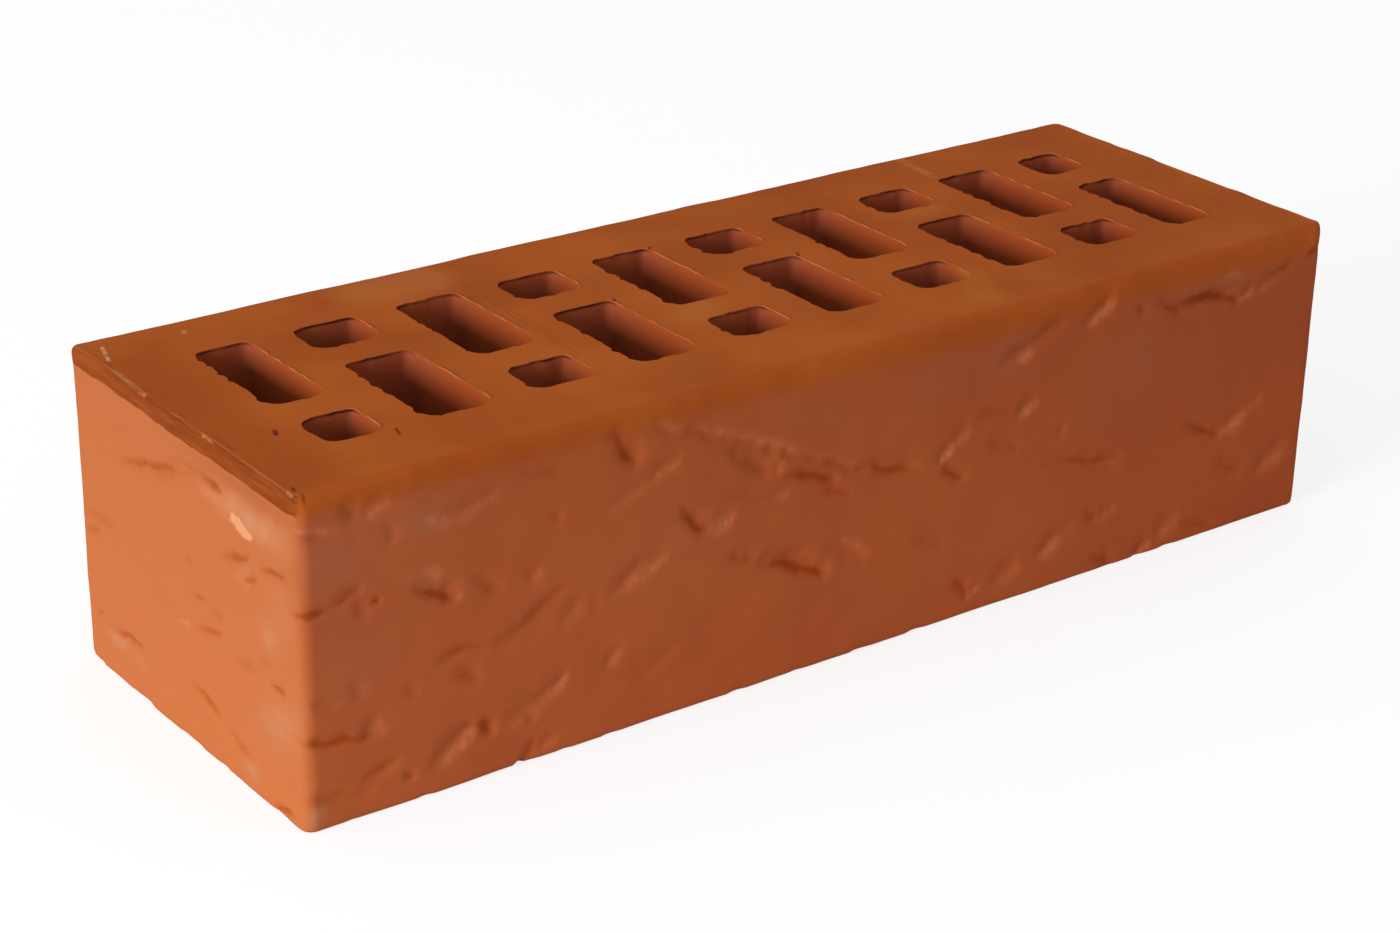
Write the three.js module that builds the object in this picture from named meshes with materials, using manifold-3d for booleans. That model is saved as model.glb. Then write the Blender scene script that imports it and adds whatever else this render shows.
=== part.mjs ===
// A hollow facing brick of fired clay, one piece.
//
// Millimetres. X runs along the stretcher face, Y across the bed and Z up. The origin is the
// centre of the lower bed. The column of clay leaves its die along Z, so the cores run straight
// from bed to bed, and wires cut the beds.

import * as THREE from "three";
import { mergeVertices, toCreasedNormals } from "three/addons/utils/BufferGeometryUtils.js";
import Module from "manifold-3d";

// The block
const brickLength = 250;
const brickWidth = 85;
const brickHeight = 65;
const uprightArrisRadius = 3; // the four upright edges, rounded by the corners of the die
const upperArrisRun = 1.5; // how far the rolled edge of the upper bed reaches in over the bed
const upperArrisDrop = 3.5; // and how far it reaches down the faces
const lowerArrisRadius = 0.8; // the edge of the lower bed, nearly as the wire leaves it

// The clay left standing between the cores and around them
const headerWall = 17; // from a header face to the nearest core
const stretcherWall = 17.5; // from a stretcher face to the nearest core
const columnWeb = 9; // between neighbouring columns of cores
const crossWeb = 8.5; // between the long core and the short core of one column

// The cores
const coreWidth = 14; // along X, in every column but the two at the ends
const shortCoreLength = 11.5; // along Y
const coreCornerRadius = 3;

// The facets of a rounded edge. An arc of an outline takes two facets for each division.
const divisionsPerCorner = 3;
const facetsPerArris = 4;

const quarterTurn = Math.PI / 2;
const creaseAngle = Math.PI / 6;

// The end columns take the length that whole columns leave over.
const columnPitch = coreWidth + columnWeb;
const coredLength = brickLength - 2 * headerWall;
const innerColumns = Math.round((coredLength - columnWeb) / columnPitch) - 1;
const endCoreWidth = (coredLength - columnWeb - innerColumns * columnPitch) / 2;

// The long core takes the width that the walls, the cross web and the short core leave over.
const coredWidth = brickWidth - 2 * stretcherWall;
const longCoreLength = coredWidth - crossWeb - shortCoreLength;

const wasm = await Module();
wasm.setup();

// A rectangle about the origin with its corners rounded, anticlockwise from the +X +Y corner.
function roundedRectangle(sizeX, sizeY, cornerRadius) {
  const radius = Math.min(cornerRadius, sizeX / 2, sizeY / 2);
  const x = sizeX / 2 - radius;
  const y = sizeY / 2 - radius;
  const outline = new THREE.Shape();
  outline.absarc(x, y, radius, 0, quarterTurn);
  outline.absarc(-x, y, radius, quarterTurn, 2 * quarterTurn);
  outline.absarc(-x, -y, radius, 2 * quarterTurn, 3 * quarterTurn);
  outline.absarc(x, -y, radius, 3 * quarterTurn, 4 * quarterTurn);
  return outline;
}

// An upright extrusion from bottomZ to topZ. Both rims are rounded as a quarter of an ellipse,
// which reaches in over the end by run and down the side by drop.
function extrudeUpright(outline, bottomZ, topZ, run = 0, drop = run) {
  const geometry = new THREE.ExtrudeGeometry(outline, {
    depth: topZ - bottomZ - 2 * drop,
    curveSegments: divisionsPerCorner,
    bevelEnabled: run > 0,
    bevelThickness: drop,
    bevelSize: run,
    bevelOffset: -run,
    bevelSegments: facetsPerArris,
  });
  return geometry.translate(0, 0, bottomZ + drop);
}

function toSolid(geometry) {
  geometry.deleteAttribute("normal");
  geometry.deleteAttribute("uv");
  const merged = mergeVertices(geometry);
  const mesh = new wasm.Mesh({
    numProp: 3,
    vertProperties: new Float32Array(merged.attributes.position.array),
    triVerts: new Uint32Array(merged.index.array),
  });
  return new wasm.Manifold(mesh);
}

function toGeometry(solid) {
  const mesh = solid.getMesh();
  const geometry = new THREE.BufferGeometry();
  geometry.setAttribute("position", new THREE.BufferAttribute(mesh.vertProperties, 3));
  geometry.setIndex(new THREE.BufferAttribute(mesh.triVerts, 1));
  return toCreasedNormals(geometry, creaseAngle);
}

// The block is what two rounded blocks share: one runs on below the lower bed, the other above
// the upper bed, so each bed keeps the arris of its own block.
function makeBlock() {
  const outline = roundedRectangle(brickLength, brickWidth, uprightArrisRadius);
  const runOn = upperArrisDrop + lowerArrisRadius;
  const upper = extrudeUpright(outline, -runOn, brickHeight, upperArrisRun, upperArrisDrop);
  const lower = extrudeUpright(outline, 0, brickHeight + runOn, lowerArrisRadius);
  return toSolid(upper).intersect(toSolid(lower));
}

// The columns from the -X end to the +X end, each with the centre and the width of its cores.
function layOutColumns() {
  const widths = [endCoreWidth, ...Array(innerColumns).fill(coreWidth), endCoreWidth];
  let left = -coredLength / 2;
  return widths.map((width) => {
    const column = { x: left + width / 2, width };
    left += width + columnWeb;
    return column;
  });
}

// A straight core that runs out through both beds.
function makeCore(x, y, width, length) {
  const outline = roundedRectangle(width, length, coreCornerRadius);
  const core = extrudeUpright(outline, -lowerArrisRadius, brickHeight + upperArrisDrop);
  return toSolid(core.translate(x, y, 0));
}

// Each column has a long core against one stretcher wall and a short core against the other,
// and neighbouring columns are turned end for end.
function makeCores() {
  const longCentre = (coredWidth - longCoreLength) / 2;
  const shortCentre = (coredWidth - shortCoreLength) / 2;
  return layOutColumns().flatMap(({ x, width }, index) => {
    const side = index % 2 === 0 ? 1 : -1;
    return [
      makeCore(x, side * longCentre, width, longCoreLength),
      makeCore(x, -side * shortCentre, width, shortCoreLength),
    ];
  });
}

const firedClay = new THREE.MeshStandardMaterial({ color: 0xa9592f, roughness: 0.92, metalness: 0 });

const perforated = makeCores().reduce((solid, core) => solid.subtract(core), makeBlock());
const body = new THREE.Mesh(toGeometry(perforated), firedClay);
body.name = "brick";

const brick = new THREE.Group();
brick.add(body);

export default brick;
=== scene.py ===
# A hollow facing brick of fired clay: its looks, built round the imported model.
#
# Metres, in the model's own frame: X runs along the stretcher face, Y across the bed and Z up.
# The origin is the centre of the lower bed.

from math import cos, radians, sin

import bpy
import numpy as np
from mathutils import Matrix, Vector
from mathutils.geometry import delaunay_2d_cdt


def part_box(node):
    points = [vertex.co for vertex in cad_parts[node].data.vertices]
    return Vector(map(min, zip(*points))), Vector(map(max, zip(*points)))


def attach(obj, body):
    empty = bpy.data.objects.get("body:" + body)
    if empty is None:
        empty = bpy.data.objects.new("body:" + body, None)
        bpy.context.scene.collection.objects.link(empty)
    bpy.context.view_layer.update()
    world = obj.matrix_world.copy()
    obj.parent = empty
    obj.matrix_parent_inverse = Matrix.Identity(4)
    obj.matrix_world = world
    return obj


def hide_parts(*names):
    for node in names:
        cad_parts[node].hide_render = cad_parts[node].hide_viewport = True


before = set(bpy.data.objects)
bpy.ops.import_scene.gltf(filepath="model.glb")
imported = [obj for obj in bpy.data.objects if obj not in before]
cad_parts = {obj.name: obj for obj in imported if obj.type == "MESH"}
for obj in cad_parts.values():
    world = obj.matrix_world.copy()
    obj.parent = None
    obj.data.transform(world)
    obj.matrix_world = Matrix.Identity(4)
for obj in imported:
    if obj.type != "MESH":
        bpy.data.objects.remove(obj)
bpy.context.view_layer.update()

MM = 0.001


# ---- The faces -------------------------------------------------------------------------------
# Two stretchers and two headers, coated and then scored like bark while the column of clay was
# still soft. The wires that cut the beds rolled the upper edge over and left the lower one sharp.

lowest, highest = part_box("brick")
brick_length, brick_width, brick_height = highest - lowest
perimeter = 2 * (brick_length + brick_width)

upright_arris = 3 * MM
stretcher_arris_run, stretcher_arris_drop = 1.5 * MM, 3.5 * MM
header_arris_run, header_arris_drop = 0.7 * MM, 1.2 * MM
lower_arris = 0.8 * MM
burr_width = 0.7 * MM
header_burr, stretcher_burr = 0.07 * MM, 0.02 * MM
upper_bed_margin = 0.5 * MM
lower_bed_margin = 1.7 * MM

seen_step = 0.68 * MM
far_step = 1.25 * MM
corner_step = 0.7 * MM
row_step = 0.72 * MM
upper_arris_rows = 5
lower_arris_rows = 3


def rounded_outline(size_x, size_y, radius, steps, corner_steps):
    """A rounded rectangle about the origin, walked anticlockwise from the middle of its -X +Y
    corner. The distance walked is that of the square-cornered rectangle. Within one radius of a
    corner the inner point stands still while the outward direction turns through a quarter turn,
    so that inner point + radius * direction is the outline. steps has the step for the -X, -Y,
    +X and +Y sides. Returns the distances, the inner points and the directions."""
    sides = np.array([size_y, size_x, size_y, size_x])
    corners = np.concatenate([[0], np.cumsum(sides)])
    distances = []
    for side, step, corner in zip(sides, steps, corners):
        side_steps = max(1, round((side - 2 * radius) / step))
        bend = np.linspace(-radius, radius, corner_steps + 1)[:-1]
        straight = np.linspace(corner + radius, corner + side - radius, side_steps + 1)[:-1]
        distances += [corner + bend, straight]
    walked = np.concatenate(distances)
    half_x, half_y = size_x / 2 - radius, size_y / 2 - radius
    inner_x = np.repeat([-half_x, -half_x, half_x, half_x, -half_x], 2)
    inner_y = np.repeat([half_y, -half_y, -half_y, half_y, half_y], 2)
    turn = np.pi * (0.5 + 0.5 * np.repeat(np.arange(5), 2) + np.tile([0, 0.5], 5))
    bend_ends = (corners[:, None] + [-radius, radius]).ravel()
    inner = np.stack([np.interp(walked, bend_ends, line) for line in (inner_x, inner_y)], axis=1)
    angle = np.interp(walked, bend_ends, turn)
    outward = np.stack([np.cos(angle), np.sin(angle)], axis=1)
    return walked, inner, outward


def short_way(distance):
    """A distance round the brick, taken the short way: from minus half the perimeter to half."""
    return (distance + perimeter / 2) % perimeter - perimeter / 2


def clay_noise(walked, upright, cell, seed, around=perimeter):
    """A smooth random height from -1 to 1: random values on a lattice of square cells, blended by
    a smooth step of the place within the cell. The lattice closes after one walk round, and has
    spare rows below and above the brick."""
    rows_below, rows_above = 1, 3
    columns = max(2, round(around / cell))
    rows = int(np.ceil(brick_height / cell)) + rows_below + rows_above
    lattice = np.random.default_rng(seed).uniform(-1, 1, (rows, columns))
    across = walked / around * columns
    up = upright / cell + rows_below
    column, row = np.floor(across).astype(int), np.clip(np.floor(up).astype(int), 0, rows - 2)
    part_across, part_up = across - column, np.clip(up - row, 0, 1)
    blend_across = part_across**2 * (3 - 2 * part_across)
    blend_up = part_up**2 * (3 - 2 * part_up)
    left, right = column % columns, (column + 1) % columns
    lower = lattice[row, left] * (1 - blend_across) + lattice[row, right] * blend_across
    upper = lattice[row + 1, left] * (1 - blend_across) + lattice[row + 1, right] * blend_across
    return lower * (1 - blend_up) + upper * blend_up


def mark(start, end, depth, reach, bow=0, dark=0, pale=0):
    """One mark of the scoring, in millimetres: start and end are the distance along the face from
    its left edge and the height, depth is how deep the tool went, or with a minus the height of a
    raised lip, and reach is that of its left and its right wall. bow is how far its middle line
    bends away from the straight. dark is how much painted shade lies in the bottom of the mark, and
    pale how pale its right wall is, where the tool tore the clay, with a painted highlight where
    that wall faces the lamp. A mark of depth 0 is only this painted shade and highlight."""
    return dict(start=start, end=end, depth=depth, reach=reach, bow=bow, dark=dark, pale=pale)


front_marks = [
    # The nick at the corner, then the long crease and the torn marks that hang from it.
    mark((1.2, 65.8), (3, 64), 0.8, (0.7, 0.8), dark=1),
    mark((70, 62.4), (90, 55), 0.7, (1.3, 1.1), bow=-0.4, pale=0.5),
    mark((80, 59.2), (110, 46), 1, (1.5, 1.2), pale=0.6),
    mark((103, 48.2), (126, 38.8), 0.8, (1, 1.3), dark=0.53, pale=0.25),
    mark((91.4, 53), (102.6, 44), 1.1, (1.3, 4.2), bow=-1.2, dark=0.5),
    mark((102.6, 43.8), (104.6, 46.4), 0.5, (1, 1.2), pale=0.4),
    mark((104.8, 46.8), (106.2, 49), 0.5, (0.9, 1), pale=0.4),
    mark((89, 42), (103, 39.6), 0.5, (1.6, 2.2), dark=0.38),
    mark((101.8, 38.6), (105.6, 40), 0.4, (1.2, 1), pale=0.5),
    mark((104.5, 42.6), (118.6, 38.2), 1.6, (0.8, 1.2), bow=0.7, dark=0.95),
    mark((114.6, 37.8), (121.6, 34.8), 0.7, (0.9, 1.4), dark=0.58),
    mark((123, 40), (139.5, 35.2), 1.4, (1, 2), dark=0.85),
    mark((143.2, 36.2), (147, 39), 1, (1.6, 1.5), pale=1),
    mark((145.4, 39), (151.2, 42.4), 0.45, (1.8, 1.9), pale=0.35),
    mark((144.4, 34.4), (151, 30.8), 1.2, (0.9, 1.6), dark=0.81),
    mark((153, 43.4), (163.6, 42.6), 0.5, (1, 1.2), dark=0.44),
    mark((164, 41.2), (169.2, 44.6), 1, (2, 1.2), pale=0.95),
    mark((156.4, 37.4), (165, 33.6), 0.6, (1.4, 2.8), dark=0.38),
    mark((137.6, 20.6), (147, 18), 0.5, (1.1, 1.8), dark=0.32),
    # The short deep cuts, each with the torn clay beside it.
    mark((64.8, 62.2), (71.6, 53.2), 1.35, (1.5, 3), bow=-0.3, dark=1),
    mark((81, 42.2), (87.4, 35.8), 1.7, (1, 2.2), bow=-0.3, dark=1),
    mark((87, 35.4), (92.6, 38.6), 0.6, (1.6, 1.6), pale=0.8),
    mark((87.4, 37.4), (93.4, 38.8), 0.2, (1.2, 1.2), pale=0.6),
    mark((23, 42.6), (32.4, 37.4), 1.4, (1.1, 2.2), bow=0.3, dark=1),
    mark((31.6, 37.4), (32.8, 38.8), 0.2, (0.5, 0.5), pale=1),
    mark((92.2, 29.8), (99, 26.8), 0.9, (1, 2), dark=0.53),
    mark((98.2, 27), (117.6, 19), 1.7, (1.2, 3.2), bow=0.5, dark=0.95),
    mark((109.4, 23.2), (117.2, 19.4), 0.3, (0.9, 1.6), dark=1),
    mark((115.6, 26.4), (127, 20.4), 0.7, (2.6, 1.2), pale=0.5),
    mark((35, 40.4), (41.4, 36.6), 0.7, (0.9, 1.8), dark=0.5),
    mark((46.6, 36.6), (50.4, 39), 0.35, (1.6, 1.4), pale=0.4),
    # The left end.
    mark((-5, 44), (8, 42.6), 1.1, (0.8, 0.9), dark=1),
    mark((3.6, 42.6), (6.8, 43), 0, (0.5, 0.5), pale=1),
    mark((6, 42.8), (12.8, 45.4), 0.7, (1.2, 1), dark=0.65),
    mark((10.4, 45), (13, 38.6), 0.4, (1.2, 2.2), dark=0.4),
    mark((14.4, 42.6), (16.2, 41.4), 0.8, (0.8, 0.9), dark=0.87),
    mark((-2, 58.8), (8, 56.6), 0.7, (1.1, 0.9), dark=0.5, pale=1),
    mark((8.6, 61.4), (12.4, 57.6), 0.8, (1.3, 1.8), dark=0.49),
    mark((12.4, 57.8), (19, 61), 0.5, (1.6, 1.3), pale=0.5),
    mark((17.2, 56.6), (19.4, 51.8), 0.4, (1.3, 1.6), dark=0.3),
    mark((24.4, 54.4), (30, 52.4), 0.25, (0.9, 1.2), pale=0.7),
    mark((23.4, 45.4), (28.8, 43), 0.2, (0.8, 1), pale=0.8),
    mark((28, 53.2), (41, 56.8), 0.6, (1.8, 1.4), bow=0.4, dark=0.38, pale=0.3),
    mark((44.6, 59.2), (56.6, 56.2), 0.5, (0.9, 1.1), dark=0.44),
    mark((51.6, 49.4), (54, 46.8), 0.35, (0.9, 1), dark=0.3),
    mark((62.6, 46.4), (78, 52.2), 0.35, (2.2, 1.3), bow=0.5, pale=0.2),
    mark((74.4, 50.4), (80.8, 53.4), 0.8, (1.7, 1.2), pale=0.6),
    mark((27, 25.8), (38.4, 26.2), 0.7, (0.9, 1.1), bow=-0.9, dark=0.66),
    mark((37, 26.6), (55.4, 34.6), 0.75, (1.2, 3.6), bow=2, dark=0.5),
    mark((53.6, 26.6), (60.4, 30.2), 0.6, (2.6, 1.8), pale=0.25),
    mark((60.2, 30.6), (62.6, 26.8), 0.3, (1, 1.6), dark=0.2),
    mark((64.6, 28.6), (77.8, 34.6), 1, (2.4, 1.5), bow=-0.3, pale=0.65),
    mark((30.8, 23.6), (37.4, 20.4), 0.5, (0.9, 1.5), bow=0.3, dark=0.55),
    mark((20, 23.2), (24.4, 20.8), 0.4, (1.2, 1.6), dark=0.25),
    mark((1.6, 26.4), (7.6, 23.4), 0.5, (1, 1.6), dark=0.25),
    mark((9.4, 28), (12.6, 23.8), 0.35, (1, 1.7), bow=0.4, pale=0.2),
    mark((-5, 19.4), (17, 15.6), 1.1, (0.9, 1.3), dark=0.9),
    mark((12.6, 15.6), (15.4, 20.2), 0.6, (1.6, 2.2), pale=0.35),
    mark((-3, 7.6), (14.6, 4.6), 0.75, (1, 1.2), dark=0.5),
    mark((11.6, 7.4), (19.6, 9.8), 0.7, (1, 1.3), dark=0.49),
    mark((20.2, 6), (22.8, 4.8), 0.7, (0.9, 1), dark=0.66),
    mark((26, 5), (35.6, 11.8), 1.4, (2.2, 1.6), pale=0.8),
    mark((36.8, 12), (39.8, 8), 1.4, (1.3, 1.6), dark=1),
    mark((40.4, 8.8), (50, 12.8), 0.6, (2.2, 1.8), pale=0.3),
    mark((47.6, 11.8), (56.2, 16), 1, (1.8, 1.5), pale=0.7),
    mark((45.8, 10.4), (48.8, 8.8), 0.35, (0.9, 1.2), dark=0.5),
    mark((45.6, -1.2), (48.2, 4.6), 0.8, (1.1, 1.6), dark=0.45),
    mark((44.2, -0.4), (46.4, 0.5), 1.5, (0.8, 0.8)),
    mark((49, 1.8), (53.2, 4.6), 0.6, (1.4, 1.2), pale=0.4),
    mark((63.6, 14.8), (67.8, 18), 0.6, (1.6, 1.2), pale=0.6),
    mark((70, 9.4), (80.6, 14.6), 0.45, (3, 1.8)),
    # The right end.
    mark((158, 53.6), (176, 60), 1.1, (1.8, 1.8), bow=0.3, dark=0.53),
    mark((162.4, 52.8), (167, 55), 0.8, (1.6, 1.5), pale=0.75),
    mark((180.8, 56.6), (189.4, 61.2), 1.1, (2.4, 1.5), pale=0.9),
    mark((194.6, 57.6), (198, 55.8), 0.6, (0.7, 0.9), dark=0.7),
    mark((200.8, 57.4), (208.8, 53.4), 0.8, (0.9, 1.2), dark=0.75),
    mark((204.6, 54.6), (218, 56.4), 1, (0.9, 1.1), bow=-0.2, dark=0.85),
    mark((206.4, 54), (219, 55.6), 0.8, (0.9, 1), bow=-0.2, dark=0.85),
    mark((212.6, 56.6), (226, 52.4), 1.6, (1, 1.1), bow=0.5, dark=1),
    mark((219, 58.6), (224.6, 58.2), 0.3, (0.8, 0.9), pale=0.5),
    mark((208, 58.8), (226, 58.4), -0.5, (1.6, 1.6), bow=0.8),
    mark((225, 53), (229.2, 55.4), 0.7, (1.3, 1.3), pale=0.7),
    mark((228, 53.8), (238, 56.6), 0.6, (1.4, 1.3), pale=0.3),
    mark((235, 55.6), (241, 57.8), 0.9, (0.9, 1), dark=0.66),
    mark((244.8, 58.6), (251, 59.4), 0.9, (0.9, 0.9), dark=0.81),
    mark((243, 60.4), (248.6, 61), -0.4, (1.4, 1.4)),
    mark((172, 29), (195.4, 24.2), 0.95, (1, 2), bow=0.3, dark=0.75),
    mark((186, 24), (195, 22.6), 0.4, (1.4, 1.2), pale=0.25),
    mark((176, 33), (176.8, 37), 0.4, (1, 0.8), pale=0.15),
    mark((149.8, 9.2), (153.8, 3.8), 1.1, (1.2, 1.6), dark=0.7),
    mark((152.6, 4), (156.8, 6.2), 0.6, (1.2, 1.1), pale=0.5),
    mark((159.2, 4.6), (167, 9), 0.6, (2.4, 2.6), pale=0.25),
    mark((168, 6.8), (182, 13.2), 0.35, (2.8, 2.4), pale=0.1),
    mark((171.2, 7.6), (178.2, 11.6), 0.65, (2, 2.2), pale=0.55),
    mark((184.8, 14.8), (188.6, 11.6), 0.8, (1.1, 1.4), dark=0.5),
    mark((188.8, 11.6), (193.8, 14.6), 0.5, (1.8, 1.7), pale=0.4),
    mark((211.8, 27.8), (223.6, 22.8), 1.1, (1.4, 2.2), dark=0.85),
    mark((222.2, 23.2), (230, 27.4), 0.65, (2.4, 2.6), pale=0.7),
    mark((227.8, 26), (235.6, 30.2), 0.4, (2, 1.8), pale=0.25),
    mark((222.2, 16), (231.6, 12), 0.75, (1.4, 1.9), dark=0.6),
    mark((234.8, 11), (244.2, 17.2), 0.6, (2.6, 2.8), pale=0.55),
    mark((205.6, 2.8), (212.4, 7.8), 0.6, (2.4, 2.4), pale=0.5),
    mark((211.6, 4.8), (224.4, 1.8), 0.8, (0.9, 1.4), dark=0.58),
    mark((187.4, 3.4), (194.4, 0.4), 1, (1.1, 1.2), dark=0.66),
    mark((199.6, 0), (204.2, 3.4), 1, (1.3, 1.2), pale=0.9),
]
left_header_marks = [
    mark((16.8, 46.8), (42.4, 53.8), 1.25, (1.3, 2.3), bow=-0.2, dark=0.8),
    mark((31, 51.8), (44.4, 54.6), 0.75, (1, 1.3), dark=0.55),
    mark((40, 53.4), (55, 56.8), 0.64, (1.2, 1.9), dark=0.39),
    mark((13, 53), (25, 55.4), 0.3, (1.4, 1.8), dark=0.2),
    mark((38.6, 54.6), (46.4, 57.6), 0.5, (1, 1.6), dark=0.4),
    mark((42.6, 56), (52.6, 56.8), 0.5, (0.8, 1.2), dark=0.5),
    mark((50, 56.8), (58.6, 56.2), 1.4, (0.6, 0.7), dark=1),
    mark((50.4, 54.4), (56.8, 55.4), 0.39, (0.9, 0.9), pale=0.6),
    mark((56, 43), (68.6, 47.6), 1.3, (1.2, 1.6), dark=0.86),
    mark((64, 40.6), (70, 44.6), 1.16, (0.9, 1.2), dark=0.71),
    mark((62.6, 42.4), (67, 40.4), 0.39, (0.9, 0.8), pale=0.6),
    mark((70.2, 46), (80.8, 48.8), 1.16, (1.1, 1.4), dark=0.86),
    mark((0.6, 32.8), (17, 32.6), 0.64, (1.4, 1.6), dark=0.48),
    mark((1.4, 26.8), (10, 29), 0.78, (0.9, 1.3), dark=0.55),
    mark((44.6, 31.6), (50.4, 31.9), 0.5, (0.6, 0.7), dark=0.65),
    mark((51.6, 31.8), (57.4, 31.2), 0.5, (0.6, 0.7), dark=0.6),
    mark((45.4, 25), (57, 27.2), 0.78, (0.8, 1), dark=0.7),
    mark((38.8, 23.8), (44, 25.9), 0, (0.7, 0.8), pale=1),
    mark((19.2, 22), (25, 23), 0, (0.7, 0.7), pale=0.25),
    mark((4.8, 10.2), (8.8, 11.8), 0.78, (0.8, 0.9), dark=0.55),
    mark((8.8, 9.4), (25, 11.2), 1.43, (1.4, 1.8), bow=0.3, dark=0.86),
    mark((42.6, 13), (54.6, 10), 1.03, (1, 0.9), dark=0.85),
    mark((55, 10.2), (67.4, 5.4), 0.91, (0.8, 0.8), dark=0.6),
    mark((60, 23.8), (69.4, 25.4), 0.64, (1, 1.2), dark=0.55),
    mark((68, 26.2), (74.6, 29.6), 0.64, (1.6, 1.8), dark=0.32),
    mark((73, 24.6), (79.2, 25.8), 0.91, (0.8, 0.9), dark=0.85),
    mark((43, 36.8), (46.2, 38.2), 0.52, (0.7, 0.9), dark=0.48),
    mark((72.8, 0.4), (80.4, 1.5), 1.1, (0.9, 0.8), dark=0.94),
    mark((28, 24), (38, 25.2), 0.39, (1.6, 1.2), dark=0.16),
    mark((30, 38.8), (37, 40), 0.32, (1.2, 1.2), dark=0.16),
]


def patch(middle, half_length, half_height, share, tilt=0.0):
    """A soft patch on a face, in millimetres and degrees: its middle as the distance along the
    face and the height, its half length and half height, and its share at the middle."""
    return dict(middle=middle, half_length=half_length, half_height=half_height, share=share, tilt=tilt)


# Where the coat has flaked, where dust has settled and where smoke has greyed the coat, and on the left
# header a zone of painted shade just under the worn band.
left_header_flakes = [
    patch((63.8, 52.8), 3, 1.3, 1.15, tilt=-8),
    patch((67.6, 52.1), 4.4, 0.95, 0.98, tilt=2),
]
left_header_pale = [
    patch((68, 56), 13, 3, 0.2),
    patch((68.6, 55), 11, 2.5, 0.7),
    patch((77, 57.6), 5, 1.4, 0.2, tilt=14),
    patch((60.6, 53.6), 3, 1.8, 0.2),
    patch((54.6, 55.2), 4, 1, 0.2),
    patch((65.2, 43.8), 2.6, 2, 0.5),
    patch((73.2, 34.6), 3.4, 2.8, 0.45),
    patch((79, 42), 4.5, 5.5, 0.25),
    patch((77, 19), 7, 4.2, 0.55, tilt=32),
    patch((65.4, 4.8), 3.2, 1.8, 0.65),
    patch((13.4, 8.6), 3.6, 1.5, 0.8),
    patch((23, 8), 3, 1.3, 0.25),
]
left_header_painted_shade = [patch((67, 60.2), 19, 1.9, 0.95)]
front_pale = [
    patch((27.2, 53.4), 3.2, 1.4, 0.3, tilt=-10),
    patch((26, 44), 4, 1.6, 0.2, tilt=-20),
    patch((1.4, 9.6), 1.6, 1.8, 0.2),
    patch((2.4, 3.6), 2.2, 2.4, 0.7),
    patch((221.6, 58.6), 4.4, 1.4, 0.25),
    patch((90.4, 38.2), 2.6, 1.2, 0.1),
]
front_smoky = [
    patch((6, 51), 9, 7, 0.9),
    patch((25, 55), 9, 4, 0.8),
    patch((10, 31), 13, 10, 0.4),
    patch((112, 53), 15, 4.5, 0.4, tilt=-15),
    patch((142, 53.5), 6.5, 4.5, 0.7),
    patch((161, 54), 7.5, 5, 0.8),
    patch((166, 58.4), 8, 1.7, 0.5, tilt=18),
    patch((188, 42), 11, 10, 0.4),
    patch((198, 47), 5, 12, 0.7),
    patch((215, 41), 7, 10, 0.45),
    patch((216, 58.2), 12, 2.4, 0.8),
    patch((214, 54.6), 11, 1.4, 0.6),
    patch((238, 58.5), 8, 2.4, 0.45),
    patch((80, 38), 13, 9, 0.25),
]


def scatter_marks(face_length, count, seed):
    """Marks for a face like the ones above: most of them fall to the right at about 26 degrees,
    with a steep left wall and painted shade in the bottom, and the others rise at about 28, with
    a pale right wall, partly a painted highlight. None starts near the upper edge, and none runs
    past an end."""
    falling_share = 0.6
    falling_slope, rising_slope = (-26, 8), (28, 6)
    shortest, length_shape, length_scale = 3.5, 3.0, 3.2
    from_left, from_right, starts_up = 4, 6, (2, 60)
    steep_reach, easy_reach, depths, bow_share = (0.9, 1.3), (1.4, 3.2), (0.5, 1.7), 0.05
    darks, dark_odds = [0.1, 0.3, 0.6, 1.0], [0.4, 0.3, 0.2, 0.1]
    pales, pale_odds = [0.0, 0.3, 0.7], [0.3, 0.4, 0.3]
    draw = np.random.default_rng(seed)
    marks = []
    for _ in range(count):
        falls = draw.random() < falling_share
        slope = np.radians(draw.normal(*(falling_slope if falls else rising_slope)))
        length = shortest + draw.gamma(length_shape, length_scale)
        u = draw.uniform(from_left, face_length - from_right - length)
        v = draw.uniform(*starts_up)
        steep, easy = draw.uniform(*steep_reach), draw.uniform(*easy_reach)
        marks.append(mark(
            (u, v),
            (u + length * np.cos(slope), v + length * np.sin(slope)),
            draw.uniform(*depths),
            (steep, easy) if falls else (easy, steep),
            bow=draw.normal(0, bow_share) * length,
            dark=draw.choice(darks, p=dark_odds) * falls,
            pale=draw.choice(pales, p=pale_odds) * (not falls),
        ))
    return marks


def scatter_patches(face_length, count, largest, share, seed):
    """Soft patches at random over a face, up to a largest half length and share."""
    highest_middle, lengths, heights, shares, tilts = 60, (0.3, 1), (0.2, 0.7), (0.3, 1), (-30, 30)
    draw = np.random.default_rng(seed)
    return [
        patch(
            (draw.uniform(0, face_length), draw.uniform(0, highest_middle)),
            draw.uniform(*lengths) * largest, draw.uniform(*heights) * largest,
            draw.uniform(*shares) * share, tilt=draw.uniform(*tilts),
        )
        for _ in range(count)
    ]


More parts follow.
